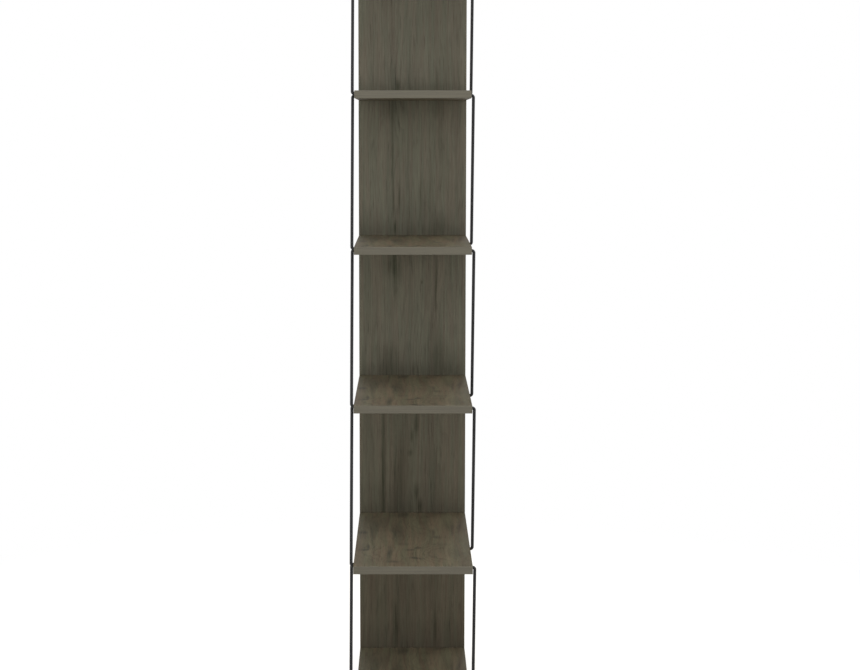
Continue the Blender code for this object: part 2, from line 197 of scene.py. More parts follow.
def wood_decor(name, grain_axis, wander_mm, line_gap_mm, line_length_mm, streaks, tones, tints,
               marks, eyes):
    """The printed decor, with its grain along Y or Z.

    A streak is (width mm, length mm, detail, strength). A mark or an eye is (across, along, half width,
    half length, depth), all but its depth in mm. A mark is a smoky smear of the print or painted shade. The
    tones are a light, a pink and a smoky colour that also paints the shade, and the two tints multiply the
    print near the floor and higher up.
    """
    light_tone, pink_tone, smoky_and_shade_tone = tones
    low_tint, high_tint = tints
    material = start_material(name)
    tree = material.node_tree
    place = add_node(tree, "TexCoord")
    axes = add_node(tree, "SeparateXYZ", {0: place.outputs["Object"]})
    x, y, z = axes.outputs
    if grain_axis == "Y":
        # Every board is cut from the same place of the print, so the pattern starts again at each
        above = add_node(tree, "Math", {0: z, 1: lowest_z - room_below}, operation="SUBTRACT")
        within = add_node(tree, "Math", {0: above.outputs[0], 1: board_pitch}, operation="FLOORED_MODULO")
        along, through = y, within.outputs[0]
        core_from, core_to = room_below + foil, room_below + board_thickness - foil
        inner_end = rear_y - foil
        shade = 1.0
    else:
        along, through = z, y
        core_from, core_to = panel_front_y + foil, rear_y - foil
        inner_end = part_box("top_board")[1].z  # above every panel, whose ends are hidden in the joints
        # The front of each panel gets evenly darker toward its foot: painted shade of the corner over each
        # board
        above = add_node(tree, "Math", {0: z, 1: lowest_z + board_thickness}, operation="SUBTRACT")
        over_foot = add_node(tree, "Math", {0: above.outputs[0], 1: board_pitch},
                             operation="FLOORED_MODULO")
        foot = add_node(tree, "MapRange", {"Value": over_foot.outputs[0], "From Min": 0.0,
                                           "From Max": shaded_height, "To Min": -foot_shade,
                                           "To Max": 0.0})
        in_front = add_node(tree, "Math", {0: y, 1: core_from}, operation="LESS_THAN")
        shade = add_node(tree, "Math", {0: foot.outputs[0], 1: in_front.outputs[0], 2: 1.0},
                         operation="MULTIPLY_ADD").outputs[0]
    flat = add_node(tree, "CombineXYZ", {0: x, 1: along, 2: through}).outputs[0]
    if grain_axis == "Y":
        # The band on the rear edge is a strip of the same print that runs across the board
        band = add_node(tree, "CombineXYZ", {0: through, 1: x, 2: along})
        at_rear = add_node(tree, "Math", {0: y, 1: inner_end}, operation="GREATER_THAN")
        flat = add_node(tree, "Mix", {0: at_rear.outputs[0], 4: flat, 5: band.outputs[0]},
                        data_type="VECTOR").outputs[1]

    # The grain wanders sideways over a long way, so no streak is ruler-straight
    slow = add_node(tree, "Mapping", {"Vector": flat, "Scale": per_size(60, 220, 60)})
    drift = add_node(tree, "TexNoise", {"Vector": slow.outputs[0], "Scale": 1, "Detail": 2})
    sideways = add_node(tree, "Math", {0: drift.outputs[0], 1: wander_mm / 1000, 2: -wander_mm / 2000},
                        operation="MULTIPLY_ADD")
    shift = add_node(tree, "CombineXYZ", {0: sideways.outputs[0]})
    grain = add_node(tree, "VectorMath", {0: flat, 1: shift.outputs[0]}, operation="ADD").outputs[0]

    # Soft spots: eyes push the growth lines round them, marks are smoky smears of the print, and painted
    # shade at the panels' feet
    faded_at = 1.35  # in half sizes from a spot's middle
    rough_place = add_node(tree, "Mapping", {"Vector": flat, "Scale": per_size(9, 34, 9)})
    rough = add_node(tree, "TexNoise", {"Vector": rough_place.outputs[0], "Scale": 1, "Detail": 3})

    def spots(places, raggedness):
        """The depths of all the spots together, each deepest in its middle and torn at its edge."""
        total = None
        for across, run, half_width, half_length, depth in places:
            middle = (across / 1000, run / 1000, 0)
            shrink = (*per_size(half_width, half_length), 0)
            moved = add_node(tree, "VectorMath", {0: grain, 1: middle}, operation="SUBTRACT")
            shaped = add_node(tree, "VectorMath", {0: moved.outputs[0], 1: shrink}, operation="MULTIPLY")
            torn = add_node(tree, "VectorMath", {0: rough.outputs["Color"], 1: (raggedness,) * 3,
                                                 2: shaped.outputs[0]}, operation="MULTIPLY_ADD")
            centred = add_node(tree, "VectorMath", {0: torn.outputs[0], 1: (raggedness / 2,) * 3},
                               operation="SUBTRACT")
            reach = add_node(tree, "VectorMath", {0: centred.outputs[0]}, operation="LENGTH")
            spot = add_node(tree, "MapRange", {"Value": reach.outputs["Value"], "From Min": 0.0,
                                               "From Max": faded_at, "To Min": depth, "To Max": 0},
                            interpolation_type="SMOOTHSTEP").outputs[0]
            if total is None:
                total = spot
            else:
                total = add_node(tree, "Math", {0: total, 1: spot}, operation="ADD").outputs[0]
        return total

    figure = spots(eyes, 0.5)

    # Growth lines: evenly spaced contours with a soft dark edge each, drawn clearer at the eyes
    line_swing = 6.0  # in gaps between lines
    between_lines = 1.05  # brightness of the ground
    faint_line, clear_line = -0.09, -0.26  # what the middle of a line adds to it
    band_place = add_node(tree, "Mapping", {"Vector": grain, "Scale": per_size(64, line_length_mm, 64)})
    band_noise = add_node(tree, "TexNoise", {"Vector": band_place.outputs[0], "Scale": 1, "Detail": 3})
    across = add_node(tree, "SeparateXYZ", {0: grain})
    phase = add_node(tree, "Math", {0: across.outputs[0], 1: 1000 / line_gap_mm, 2: figure},
                     operation="MULTIPLY_ADD")
    phase = add_node(tree, "Math", {0: band_noise.outputs[0], 1: line_swing, 2: phase.outputs[0]},
                     operation="MULTIPLY_ADD")
    ring = add_node(tree, "Math", {0: phase.outputs[0]}, operation="FRACT")
    late_wood = add_node(tree, "MapRange", {"Value": ring.outputs[0], "From Min": 0.5, "From Max": 1.0},
                         interpolation_type="SMOOTHSTEP")
    drawn = add_node(tree, "MapRange", {"Value": figure, "From Min": 0.0, "From Max": 1.6,
                                        "To Min": faint_line, "To Max": clear_line})
    light = add_node(tree, "Math", {0: late_wood.outputs[0], 1: drawn.outputs[0], 2: between_lines},
                     operation="MULTIPLY_ADD")

    # Fibres, flecks, streaks and slow drifts of tone. Real fibres are too thin to show, so the finest,
    # which come first, are drawn 2 to 3 mm wide. They also comb the smears and the painted shade, and give
    # the relief
    fibre = None
    for width, length, detail, strength in streaks:
        streak_place = add_node(tree, "Mapping", {"Vector": grain, "Scale": per_size(width, length, width)})
        streak = add_node(tree, "TexNoise", {"Vector": streak_place.outputs[0], "Scale": 1,
                                             "Detail": detail})
        centred = add_node(tree, "Math", {0: streak.outputs[0], 1: strength, 2: -strength / 2},
                           operation="MULTIPLY_ADD")
        light = add_node(tree, "Math", {0: light.outputs[0], 1: centred.outputs[0]}, operation="ADD")
        fibre = fibre or streak

    # Dark pores that the press sinks a little, drawn wider than the 0.3 mm of real ones so that they show.
    # Here and below, a Location keeps one noise from repeating another
    pore_darkness = -0.24
    pore_place = add_node(tree, "Mapping", {"Vector": grain, "Scale": per_size(2.4, 46, 2.4),
                                            "Location": (7, 3, 5)})
    pore_noise = add_node(tree, "TexNoise", {"Vector": pore_place.outputs[0], "Scale": 1, "Detail": 1})
    pores = add_node(tree, "MapRange", {"Value": pore_noise.outputs[0], "From Min": 0.58,
                                        "From Max": 0.74})
    light = add_node(tree, "Math", {0: pores.outputs[0], 1: pore_darkness, 2: light.outputs[0]},
                     operation="MULTIPLY_ADD")
    # Painted shade: the front of each panel darkens toward its foot
    light = add_node(tree, "Math", {0: light.outputs[0], 1: shade}, operation="MULTIPLY")

    # Two close tones change from streak to streak, and the smears, the painted shade at the panels' feet
    # and a slow haze are dark olive grey
    hue_place = add_node(tree, "Mapping", {"Vector": grain, "Scale": per_size(7, 160, 7),
                                           "Location": (3, 8, 2)})
    hue = add_node(tree, "TexNoise", {"Vector": hue_place.outputs[0], "Scale": 1, "Detail": 2})
    hue_share = add_node(tree, "MapRange", {"Value": hue.outputs[0], "From Min": 0.36, "From Max": 0.64})
    ground = add_node(tree, "Mix", {0: hue_share.outputs[0], 6: colour(light_tone), 7: colour(pink_tone)},
                      data_type="RGBA")
    haze_place = add_node(tree, "Mapping", {"Vector": grain, "Scale": per_size(46, 170, 46),
                                            "Location": (2, 5, 9)})
    haze = add_node(tree, "TexNoise", {"Vector": haze_place.outputs[0], "Scale": 1, "Detail": 3})
    haze_share = add_node(tree, "MapRange", {"Value": haze.outputs[0], "From Min": 0.50, "From Max": 0.75,
                                             "To Min": 0, "To Max": 0.2})
    combed = add_node(tree, "MapRange", {"Value": fibre.outputs[0], "From Min": 0.3, "From Max": 0.7,
                                         "To Min": 1.25, "To Max": 0.6})
    smears_and_painted_shade = add_node(tree, "Math", {0: spots(marks, 0.55), 1: combed.outputs[0],
                                     2: haze_share.outputs[0]}, operation="MULTIPLY_ADD")
    smoked_and_shaded = add_node(tree, "Mix", {0: smears_and_painted_shade.outputs[0], 6: ground.outputs[2], 7: colour(smoky_and_shade_tone)},
                      data_type="RGBA")
    printed = add_node(tree, "VectorMath", {0: smoked_and_shaded.outputs[2], "Scale": light.outputs[0]},
                       operation="SCALE")
    tint_share = add_node(tree, "MapRange", {"Value": z, "From Min": tint_from_z, "From Max": tint_to_z})
    tint = add_node(tree, "Mix", {0: tint_share.outputs[0], 6: (*low_tint, 1), 7: (*high_tint, 1)},
                    data_type="RGBA")
    printed = add_node(tree, "VectorMath", {0: printed.outputs[0], 1: tint.outputs[2]},
                       operation="MULTIPLY")

    # Raw chipboard shows in bores, between the foils and inside the bands at the edges
    chip_mm = 2.2
    off_middle = add_node(tree, "Math", {0: x}, operation="ABSOLUTE")
    inside = add_node(tree, "Math", {0: off_middle.outputs[0], 1: side_x - foil}, operation="LESS_THAN")
    short = add_node(tree, "Math", {0: along, 1: inner_end}, operation="LESS_THAN")
    over = add_node(tree, "Math", {0: through, 1: core_from}, operation="GREATER_THAN")
    under = add_node(tree, "Math", {0: through, 1: core_to}, operation="LESS_THAN")
    raw = inside
    for part in (short, over, under):
        raw = add_node(tree, "Math", {0: raw.outputs[0], 1: part.outputs[0]}, operation="MULTIPLY")
    chips = add_node(tree, "TexVoronoi", {"Vector": place.outputs["Object"], "Scale": 1000 / chip_mm,
                                          "Randomness": 1.0})
    chip_grey = add_node(tree, "SeparateXYZ", {0: chips.outputs["Color"]})
    chip_colour = add_node(tree, "Mix", {0: chip_grey.outputs[0], 6: colour("#7b6243"),
                                         7: colour("#b79a6d")}, data_type="RGBA")
    surface = add_node(tree, "Mix", {0: raw.outputs[0], 6: printed.outputs[0], 7: chip_colour.outputs[2]},
                       data_type="RGBA")

    # The press leaves fine relief and a matt feel, a little rougher on the raised fibres
    pore_depth = -0.6
    least_roughness, roughness_spread = 0.46, 0.16
    raised = add_node(tree, "Math", {0: pores.outputs[0], 1: pore_depth, 2: fibre.outputs[0]},
                      operation="MULTIPLY_ADD")
    relief = add_node(tree, "Mix", {0: raw.outputs[0], 2: raised.outputs[0], 3: chips.outputs["Distance"]})
    bump = add_node(tree, "Bump", {"Height": relief.outputs[0], "Strength": 0.25, "Distance": 0.0002})
    feel = add_node(tree, "Math", {0: fibre.outputs[0], 1: roughness_spread, 2: least_roughness},
                    operation="MULTIPLY_ADD")
    shader = add_node(tree, "BsdfPrincipled", {"Base Color": surface.outputs[2],
                                               "Roughness": feel.outputs[0],
                                               "Specular IOR Level": 0.12, "Normal": bump.outputs[0]})
    add_node(tree, "OutputMaterial", {"Surface": shader.outputs[0]})
    return material


def finish_with(piece, material):
    """Gives a CAD node or a new piece this finish and no other."""
    piece.data.materials.clear()
    piece.data.materials.append(material)


def from_rear(places):
    """Marks or eyes of a board, whose second number is measured forward from its rear edge."""
    return [(across, rear_y * 1000 - forward, *rest) for across, forward, *rest in places]


board_marks = from_rear([
    (-88, 122, 38, 130, 0.50), (-33, 190, 16, 110, 0.42), (-40, 215, 7, 50, 0.35), (43, 200, 6, 40, 0.60),
    (53, 240, 13, 14, 0.55), (-108, 200, 11, 14, 0.60), (-97, 322, 5, 26, 0.80), (-102, 346, 9, 9, 0.75),
    (-51, 380, 7, 66, 0.90), (-40, 438, 15, 10, 0.60), (-3, 346, 14, 9, 0.75), (13, 330, 11, 11, 0.80),
    (4, 408, 14, 10, 0.75), (18, 415, 12, 9, 0.60), (104, 140, 6, 66, 0.50), (88, 180, 4.5, 64, 0.50),
    (-22, 40, 24, 30, 0.50), (60, 22, 20, 16, 0.40), (-22, 300, 20, 12, 0.30), (60, 300, 26, 12, 0.30)])
board_eyes = from_rear([(42, 372, 46, 84, 3.0), (-86, 366, 34, 56, 2.0), (2, 120, 34, 90, 1.0)])
board_streaks = ((2.8, 90, 2, 0.52), (2.4, 24, 1, 0.30), (9, 150, 2, 0.66), (26, 280, 2, 0.70))
board_tints = ((1.0, 1.0, 1.0), (1.0, 0.985, 0.98))
board_tones = ("#5c5845", "#605544", "#34322a")
# The last five marks of the panels are painted shade at their feet
panel_marks_and_painted_shade = [
    (-66, 450, 7, 200, 0.75), (-32, 420, 34, 130, 0.30), (9, 545, 7, 30, 0.65), (-2, 515, 5, 18, 0.55),
    (-5, 476, 8, 10, 0.45), (10, 385, 7, 26, 0.65), (17, 352, 7, 20, 0.70), (-52, 684, 28, 50, 0.40),
    (62, 684, 26, 56, 0.40), (-42, 905, 26, 40, 0.40), (53, 862, 4, 66, 0.75), (-38, 890, 6, 64, 0.50),
    (21, 866, 2.5, 5, 0.65), (-45, 1256, 40, 36, 0.35), (-45, 1150, 3, 120, 0.50), (-29, 1056, 3, 40, 0.60),
    (-42, 1050, 3, 40, 0.50), (-38, 988, 4, 22, 0.80), (19, 1052, 2.6, 80, 0.50), (60, 994, 22, 30, 0.30),
    (60, 1250, 24, 26, 0.25), (-32, 1304, 5, 20, 0.70), (54, 1318, 3, 50, 0.35), (-38, 76, 8, 64, 0.60),
    (52, 66, 4.5, 56, 0.75), (-62, 250, 28, 40, 0.30),
    # Painted shade at the feet of the four upper panels, and once more at the left of the second panel's
    # foot
    (0, 1292, 160, 26, 0.26), (0, 975, 160, 26, 0.20), (0, 658, 160, 28, 0.28), (0, 341, 160, 28, 0.17),
    (-88, 984, 50, 44, 0.18)]
panel_eyes = [(-33, 1310, 24, 120, 1.5), (36, 455, 30, 120, 0.9), (-36, 1085, 12, 80, 1.0),
              (14, 700, 24, 90, 0.8)]
panel_streaks = ((2.6, 170, 2, 0.44), (2.2, 28, 1, 0.27), (9, 420, 2, 0.30), (28, 600, 2, 0.46))
panel_tints = ((0.84, 0.80, 0.78), (1.10, 1.12, 1.16))
panel_tones = ("#696757", "#6d6657", "#3a3b2c")
board_decor = wood_decor("printed_oak_melamine_board", "Y", wander_mm=26, line_gap_mm=17,
                         line_length_mm=200, streaks=board_streaks, tones=board_tones,
                         tints=board_tints, marks=board_marks, eyes=board_eyes)
panel_decor = wood_decor("printed_oak_melamine_panel", "Z", wander_mm=7, line_gap_mm=13,
                         line_length_mm=400, streaks=panel_streaks, tones=panel_tones,
                         tints=panel_tints, marks=panel_marks_and_painted_shade, eyes=panel_eyes)
for node_name in board_names:
    finish_with(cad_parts[node_name], board_decor)

# The cam locks draw each panel tight between its boards, so its ends close the fitting gap
joint_gap = 0.00029
end_depth = 0.0006
weld = 0.00001


def add_copy(name, mesh):
    """A new piece with its own copy of a mesh."""
    piece = bpy.data.objects.new(name, mesh.copy())
    bpy.context.scene.collection.objects.link(piece)
    return piece


def select_in(piece, kind, wanted):
    """Selects only those verts, edges or faces of a piece in edit mode that are wanted."""
    bpy.ops.mesh.select_all(action="DESELECT")
    shape = bmesh.from_edit_mesh(piece.data)
    for part in getattr(shape, kind):
        part.select_set(wanted(part))
    bmesh.update_edit_mesh(piece.data)


for bay in bays:
    node_name = f"back_panel_{bay}"
    low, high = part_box(node_name)
    panel = add_copy("tight_" + node_name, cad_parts[node_name].data)
    bpy.context.view_layer.objects.active = panel
    bpy.ops.object.mode_set(mode="EDIT")
    bpy.ops.mesh.select_mode(type="VERT")
    bpy.ops.mesh.select_all(action="SELECT")
    bpy.ops.mesh.remove_doubles(threshold=weld)
    for end_z, push in ((low.z, -joint_gap), (high.z, joint_gap)):
        select_in(panel, "verts", lambda vertex: abs(vertex.co.z - end_z) < end_depth)
        bpy.ops.transform.translate(value=(0, 0, push))
    bpy.ops.object.mode_set(mode="OBJECT")
    finish_with(panel, panel_decor)
    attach(panel, body)
    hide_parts(node_name)


# Front edging: a strip of 1 mm ABS glued to each board's front, a plain lighter grey-brown
# with faint streaks along it, satin, and rounded a little where the trimmer ran.
level_names = ("top", "1", "2", "3", "4", "bottom")

edging = start_material("abs_edging_strip")
tree = edging.node_tree
place = add_node(tree, "TexCoord")
strip_place = add_node(tree, "Mapping", {"Vector": place.outputs["Object"],
                                         "Scale": per_size(140, 40, 2.4)})
strip_streaks = add_node(tree, "TexNoise", {"Vector": strip_place.outputs[0], "Scale": 1, "Detail": 3})
strip_share = add_node(tree, "MapRange", {"Value": strip_streaks.outputs[0], "From Min": 0.3,
                                          "From Max": 0.7})
strip_colour = add_node(tree, "Mix", {0: strip_share.outputs[0], 6: colour("#6c685d"),
                                      7: colour("#777365")}, data_type="RGBA")
strip_bump = add_node(tree, "Bump", {"Height": strip_streaks.outputs[0], "Strength": 0.12,
                                     "Distance": 0.0001})
strip_shader = add_node(tree, "BsdfPrincipled", {"Base Color": strip_colour.outputs[2], "Roughness": 0.48,
                                                 "Specular IOR Level": 0.2,
                                                 "Normal": strip_bump.outputs[0]})
add_node(tree, "OutputMaterial", {"Surface": strip_shader.outputs[0]})
for level_name in level_names:
    finish_with(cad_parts["front_edge_" + level_name], edging)


# Rods: 6.4 mm steel wire, cut, bent in a press at both ends and powder coated black. The two
# short legs sit in bores in the boards' side edges, one board above the other.
rod_radius = 0.0032
rod_sides = 32
bend_steps = 10

# Powder coat: near black and half matt, with slow patches of tone and a faint orange peel
peel_mm = 2.5
coat = start_material("black_powder_coated_steel")
tree = coat.node_tree
place = add_node(tree, "TexCoord")
peel = add_node(tree, "TexNoise", {"Vector": place.outputs["Object"], "Scale": 1000 / peel_mm,
                                   "Detail": 1})
peel_bump = add_node(tree, "Bump", {"Height": peel.outputs[0], "Strength": 0.04, "Distance": 0.0001})
coat_tone_place = add_node(tree, "Mapping", {"Vector": place.outputs["Object"],
                                             "Scale": per_size(30, 30, 60)})
coat_tone = add_node(tree, "TexNoise", {"Vector": coat_tone_place.outputs[0], "Scale": 1, "Detail": 2})
coat_colour = add_node(tree, "Mix", {0: coat_tone.outputs[0], 6: colour("#2f2f30"), 7: colour("#363637")},
                       data_type="RGBA")
coat_shader = add_node(tree, "BsdfPrincipled", {"Base Color": coat_colour.outputs[2], "Roughness": 0.5,
                                                "Specular IOR Level": 0.12,
                                                "Normal": peel_bump.outputs[0]})
add_node(tree, "OutputMaterial", {"Surface": coat_shader.outputs[0]})


def model_rod(name, outward):
    """The rod in place of a CAD rod, from its lower leg's end to its upper leg's end."""
    low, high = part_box(name)
    run_x = high.x - rod_radius if outward > 0 else low.x + rod_radius
    end_x = low.x if outward > 0 else high.x
    front_leg, rear_leg = low.y + rod_radius, high.y - rod_radius
    upper_y, lower_y = (front_leg, rear_leg) if outward > 0 else (rear_leg, front_leg)
    lower = Vector((outward * side_x, lower_y, low.z + rod_radius))
    upper = Vector((outward * side_x, upper_y, high.z - rod_radius))
    along = (upper - lower).normalized()
    bend = abs(run_x - outward * side_x)
    turn_axis = Vector((outward, 0, 0)).cross(along)
    leg = Vector((outward * side_x - end_x, 0, 0))
    run = upper - lower - 2 * bend * along

    bpy.ops.mesh.primitive_circle_add(vertices=rod_sides, radius=rod_radius, location=lower - leg,
                                      rotation=(0, math.pi / 2, 0))
    rod = bpy.context.object
    bpy.ops.object.transform_apply(location=True, rotation=True, scale=True)
    bpy.ops.object.mode_set(mode="EDIT")
    bpy.ops.mesh.select_all(action="SELECT")
    bpy.ops.mesh.extrude_region_move(TRANSFORM_OT_translate={"value": leg})
    bpy.ops.mesh.spin(steps=bend_steps, angle=-math.pi / 2, center=lower + bend * along, axis=turn_axis)
    bpy.ops.mesh.extrude_region_move(TRANSFORM_OT_translate={"value": run})
    bpy.ops.mesh.spin(steps=bend_steps, angle=-math.pi / 2, center=upper - bend * along, axis=turn_axis)
    bpy.ops.mesh.extrude_region_move(TRANSFORM_OT_translate={"value": -leg})
    bpy.ops.mesh.select_all(action="SELECT")
    bpy.ops.mesh.remove_doubles(threshold=weld)
    bpy.ops.mesh.fill_holes(sides=0)
    bpy.ops.mesh.normals_make_consistent(inside=False)
    bpy.ops.object.mode_set(mode="OBJECT")
    bpy.ops.object.shade_smooth_by_angle(angle=math.radians(40))
    return rod


for side_name, outward in (("left", -1), ("right", 1)):
    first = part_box(f"rod_{side_name}_1")[0]
    pattern = model_rod(f"rod_{side_name}_1", outward)
    for bay in bays:
        node_name = f"rod_{side_name}_{bay}"
        rod = add_copy(f"bent_rod_{side_name}_{bay}", pattern.data)
        rod.data.transform(Matrix.Translation(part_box(node_name)[0] - first))
        finish_with(rod, coat)
        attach(rod, body)
        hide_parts(node_name)
    bpy.data.objects.remove(pattern)


# Cam locks: die-cast zinc discs pressed into pockets in the panels' rear faces, two to a panel.
# A cross recess takes the screwdriver, an arrow points to the bolt, which enters by the rim.
cam_sides = 64
cam_low, cam_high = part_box("cam_upper_1")
cam_centre = (cam_low + cam_high) / 2
cam_radius = (cam_high.x - cam_low.x) / 2
cam_rim_round = 0.0004
cam_rim_width = 0.0009
cam_dish = 0.0003
recess_length = 0.0090
recess_width = 0.0018
recess_depth = 0.0020
recess_taper = 0.85
arrow_radius = 0.0008
arrow_depth = 0.0003
arrow_from_middle = 0.0055
bolt_radius = 0.003
bore_sides = 32
bore_depth = 0.0093
panel_middle_y = (panel_front_y + rear_y) / 2
facing = 0.99  # how far along Y a face's unit normal must reach for the face to count as flat

# Die-cast zinc: a cloudy light grey metal, half dull from the mould. Its skin is grained finer
# than 0.1 mm, and the grain is drawn 0.5 mm wide so that it shows
cloud_mm = 4.0
cast_grain_mm = 0.5
cast_least_roughness, cast_roughness_spread = 0.3, 0.3
zinc = start_material("die_cast_zinc")
tree = zinc.node_tree
place = add_node(tree, "TexCoord")
cloud = add_node(tree, "TexNoise", {"Vector": place.outputs["Object"], "Scale": 1000 / cloud_mm,
                                    "Detail": 3})
cast_grain = add_node(tree, "TexNoise", {"Vector": place.outputs["Object"],
                                         "Scale": 1000 / cast_grain_mm, "Detail": 2})
cast_colour = add_node(tree, "Mix", {0: cloud.outputs[0], 6: colour("#9c9ea0"), 7: colour("#bfc1c3")},
                       data_type="RGBA")
cast_feel = add_node(tree, "Math", {0: cloud.outputs[0], 1: cast_roughness_spread,
                                    2: cast_least_roughness}, operation="MULTIPLY_ADD")
cast_bump = add_node(tree, "Bump", {"Height": cast_grain.outputs[0], "Strength": 0.3, "Distance": 0.0001})
cast_shader = add_node(tree, "BsdfPrincipled", {"Base Color": cast_colour.outputs[2], "Metallic": 1.0,
                                                "Roughness": cast_feel.outputs[0],
                                                "Normal": cast_bump.outputs[0]})
add_node(tree, "OutputMaterial", {"Surface": cast_shader.outputs[0]})


def cut_away(piece, tool):
    """Cuts a tool's shape out of a piece and takes the tool away."""
    cut = piece.modifiers.new("cut", "BOOLEAN")
    cut.operation = "DIFFERENCE"
    cut.solver = "EXACT"
    cut.object = tool
    bpy.ops.object.select_all(action="DESELECT")
    bpy.context.view_layer.objects.active = piece
    piece.select_set(True)
    bpy.ops.object.modifier_apply(modifier=cut.name)
    bpy.data.objects.remove(tool)


bpy.ops.mesh.primitive_cylinder_add(vertices=cam_sides, radius=cam_radius, depth=cam_high.y - cam_low.y,
                                    location=cam_centre, rotation=(math.pi / 2, 0, 0))
cam_pattern = bpy.context.object
bpy.ops.object.transform_apply(location=True, rotation=True, scale=True)
bpy.ops.object.mode_set(mode="EDIT")
bpy.ops.mesh.select_mode(type="FACE")
select_in(cam_pattern, "faces", lambda face: face.normal.y > facing)
bpy.ops.mesh.bevel(offset=cam_rim_round, segments=3)
select_in(cam_pattern, "faces", lambda face: face.normal.y > facing)
bpy.ops.mesh.inset(thickness=cam_rim_width)
bpy.ops.mesh.inset(thickness=cam_dish, depth=-cam_dish)
bpy.ops.object.mode_set(mode="OBJECT")

for length, height in ((recess_length, recess_width), (recess_width, recess_length)):
    bpy.ops.mesh.primitive_cube_add(size=1, location=(0, cam_high.y, cam_centre.z))
    arm = bpy.context.object
    arm.scale = (length, 2 * recess_depth, height)
    bpy.ops.object.transform_apply(location=True, rotation=True, scale=True)
    bpy.ops.object.mode_set(mode="EDIT")
    bpy.ops.mesh.select_mode(type="FACE")
    select_in(arm, "faces", lambda face: face.normal.y < -facing)
    bpy.ops.transform.resize(value=(recess_taper, 1, recess_taper),
                             center_override=(0, cam_high.y, cam_centre.z))
    bpy.ops.object.mode_set(mode="OBJECT")
    cut_away(cam_pattern, arm)
bpy.ops.mesh.primitive_cylinder_add(vertices=3, radius=arrow_radius, depth=2 * (cam_dish + arrow_depth),
                                    location=(0, cam_high.y, cam_centre.z + arrow_from_middle),
                                    rotation=(math.pi / 2, 0, 0))
cut_away(cam_pattern, bpy.context.object)
bpy.ops.mesh.primitive_cylinder_add(vertices=bore_sides, radius=bolt_radius, depth=2 * bore_depth,
                                    location=(0, panel_middle_y, cam_centre.z + cam_radius))
cut_away(cam_pattern, bpy.context.object)
bpy.ops.object.shade_smooth_by_angle(angle=math.radians(35))

for bay in bays:
    for end_name, half_turn in (("upper", 0), ("lower", math.pi)):
        node_name = f"cam_{end_name}_{bay}"
        low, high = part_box(node_name)
        cam = add_copy(f"cam_lock_{end_name}_{bay}", cam_pattern.data)
        cam.data.transform(Matrix.Translation((low + high) / 2) @ Matrix.Rotation(half_turn, 4, "Y")
                           @ Matrix.Translation(-cam_centre))
        finish_with(cam, zinc)
        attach(cam, body)
        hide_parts(node_name)
bpy.data.objects.remove(cam_pattern)


# Cam bolts: turned steel, zinc plated. At a cam each has a head with a neck under it, and in
# the top and the bottom board it ends in a thread, which is drawn as rings.
bolt_sides = 24
head_length = 0.0030
head_round = 0.0006
neck_length = 0.0040
neck_radius = 0.0020
neck_flare = 0.0008
thread_length = 0.0095
thread_root = 0.0023
thread_pitch = 0.0016
thread_crest, thread_foot, thread_end = 0.35, 0.7, 0.3  # shares of a pitch
point_length = 0.0005
point_radius = 0.8 * thread_root

# Zinc plating: a bright, faintly blue metal with the rings of the lathe. They are about 0.1 mm
# apart and are drawn 0.4 mm apart so that they show
plate_least_roughness, plate_roughness_spread = 0.2, 0.24
plated = start_material("zinc_plated_steel")
tree = plated.node_tree
place = add_node(tree, "TexCoord")
turned_place = add_node(tree, "Mapping", {"Vector": place.outputs["Object"],
                                          "Scale": per_size(3, 3, 0.4)})
turned = add_node(tree, "TexNoise", {"Vector": turned_place.outputs[0], "Scale": 1, "Detail": 2})
plate_colour = add_node(tree, "Mix", {0: turned.outputs[0], 6: colour("#aeb1b4"), 7: colour("#ced1d3")},
                        data_type="RGBA")
plate_feel = add_node(tree, "Math", {0: turned.outputs[0], 1: plate_roughness_spread,
                                     2: plate_least_roughness}, operation="MULTIPLY_ADD")
plate_bump = add_node(tree, "Bump", {"Height": turned.outputs[0], "Strength": 0.2, "Distance": 0.00005})
plate_shader = add_node(tree, "BsdfPrincipled", {"Base Color": plate_colour.outputs[2], "Metallic": 1.0,
                                                 "Roughness": plate_feel.outputs[0],
                                                 "Normal": plate_bump.outputs[0]})
add_node(tree, "OutputMaterial", {"Surface": plate_shader.outputs[0]})


def turn_piece(name, x, y, profile, sides):
    """A turned piece on an upright axis, ring by ring up the (radius, height) pairs of its profile."""
    radius, height = profile[0]
    bpy.ops.mesh.primitive_circle_add(vertices=sides, radius=radius, fill_type="NGON",
                                      location=(x, y, height))
    piece = bpy.context.object
    piece.name = name
    bpy.ops.object.transform_apply(location=True, rotation=True, scale=True)
    bpy.ops.object.mode_set(mode="EDIT")
    bpy.ops.mesh.select_all(action="SELECT")
    for next_radius, next_height in profile[1:]:
        rise = next_height - height
        bpy.ops.mesh.extrude_region_move(TRANSFORM_OT_translate={"value": (0, 0, rise)})
        grow = next_radius / radius
        bpy.ops.transform.resize(value=(grow, grow, 1), center_override=(x, y, next_height))
        radius, height = next_radius, next_height
    bpy.ops.mesh.select_all(action="SELECT")
    bpy.ops.mesh.normals_make_consistent(inside=False)
    bpy.ops.object.mode_set(mode="OBJECT")
    bpy.ops.object.shade_smooth_by_angle(angle=math.radians(35))
    return piece


def gripped_end(tip, inward):
    """Head and neck of a bolt from its tip, inward being +1 where the bolt goes on upwards."""
    neck_end = head_length + neck_length
    steps = ((bolt_radius - head_round, 0), (bolt_radius, head_round), (bolt_radius, head_length),
             (neck_radius, head_length), (neck_radius, neck_end), (bolt_radius, neck_end + neck_flare))
    return [(radius, tip + inward * depth) for radius, depth in steps]


def threaded_end(tip, inward):
    """Rings of a thread from a bolt's tip inward, after a short point."""
    rings = [(point_radius, tip)]
    depth = point_length
    while depth + thread_pitch < thread_length:
        for radius, share in ((thread_root, 0), (bolt_radius, thread_crest), (thread_root, thread_foot)):
            rings.append((radius, tip + inward * (depth + share * thread_pitch)))
        depth += thread_pitch
    return rings + [(bolt_radius, tip + inward * (depth + thread_end * thread_pitch))]


